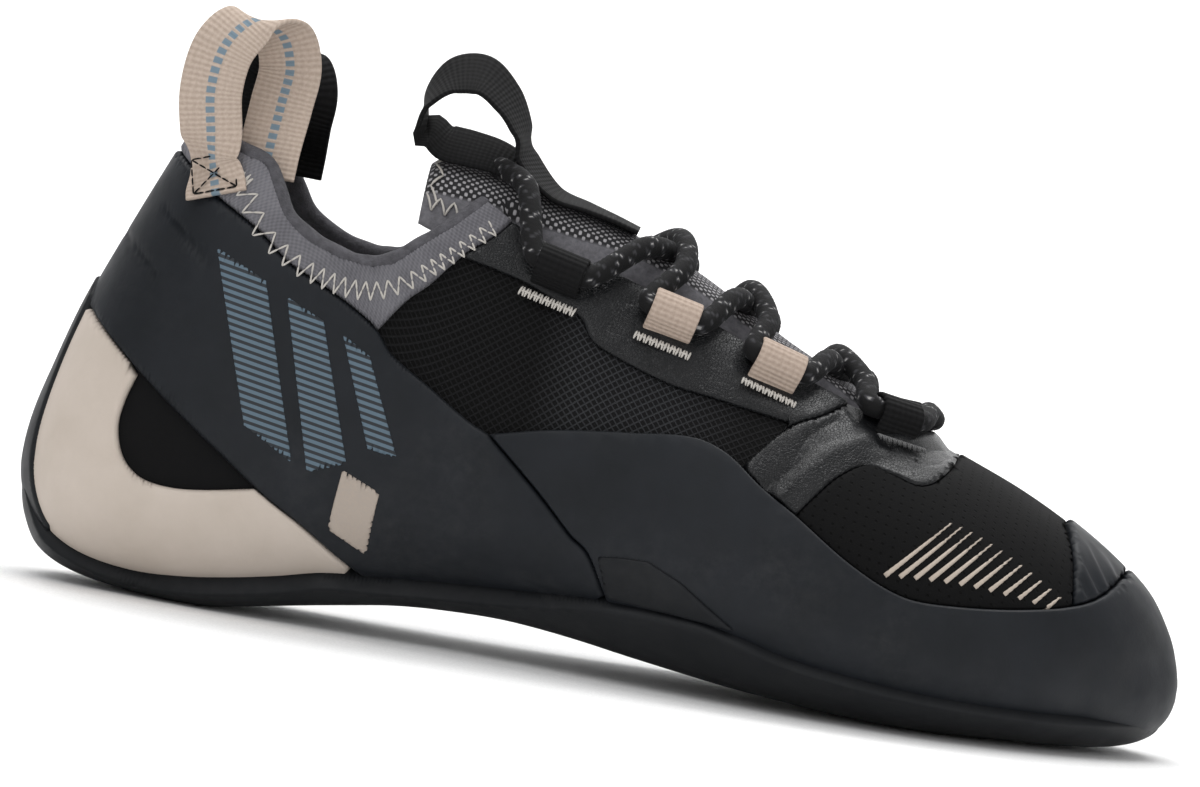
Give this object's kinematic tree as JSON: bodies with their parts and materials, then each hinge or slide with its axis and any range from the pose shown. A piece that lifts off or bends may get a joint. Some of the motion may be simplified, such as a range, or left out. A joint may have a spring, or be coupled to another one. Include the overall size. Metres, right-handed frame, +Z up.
{
  "type": "climbing shoe",
  "caption": "Laced right climbing shoe: hollow upper on a thin rubber sole, rubber rand and heel band, webbing lace loops, padded tongue and pull loops.",
  "frame": {"origin": "middle of the flat spot under the heel, on the floor", "axes": "+X towards the toe, +Z up, -Y to the lateral (outer) side of the right foot"},
  "size_m": [0.2625, 0.0898, 0.1309],
  "materials": {
    "upper_fabric": "black knitted mesh over a lining",
    "rubber": "smooth dark grey rubber, satin",
    "pale_rubber": "smooth pale beige rubber, satin",
    "insole_board": "grey fabric over thin board",
    "soft_lining": "grey brushed fabric over foam",
    "smooth_facing": "smooth coated synthetic leather, dark grey",
    "pale_webbing": "beige ribbed webbing",
    "dark_webbing": "black ribbed webbing",
    "lace": "black round braided lace with pale flecks"
  },
  "bodies": {
    "root": {"upper": "upper_fabric", "outsole": "rubber", "insole": "insole_board", "tongue": "soft_lining", "collar_cuff": "soft_lining", "heel_band": "rubber", "heel_cup_lateral": "pale_rubber", "heel_cup_medial": "pale_rubber", "rand": "rubber", "toe_patch": "rubber", "vamp_wrap": "smooth_facing", "eyestay_lateral": "smooth_facing", "eyestay_medial": "smooth_facing", "heel_loop_lateral": "pale_webbing", "heel_loop_medial": "dark_webbing", "tongue_loop": "dark_webbing", "lace_loop_lateral_1": "dark_webbing", "lace_loop_medial_1": "dark_webbing", "lace_loop_lateral_2": "pale_webbing", "lace_loop_medial_2": "pale_webbing", "lace_loop_lateral_3": "pale_webbing", "lace_loop_medial_3": "pale_webbing", "lace_loop_lateral_4": "dark_webbing", "lace_loop_medial_4": "dark_webbing", "lace_cross_1": "lace", "lace_cross_2": "lace", "lace_cross_3": "lace", "lace_top_bar": "lace", "lace_bottom_bar": "lace"}
  },
  "joints": []
}
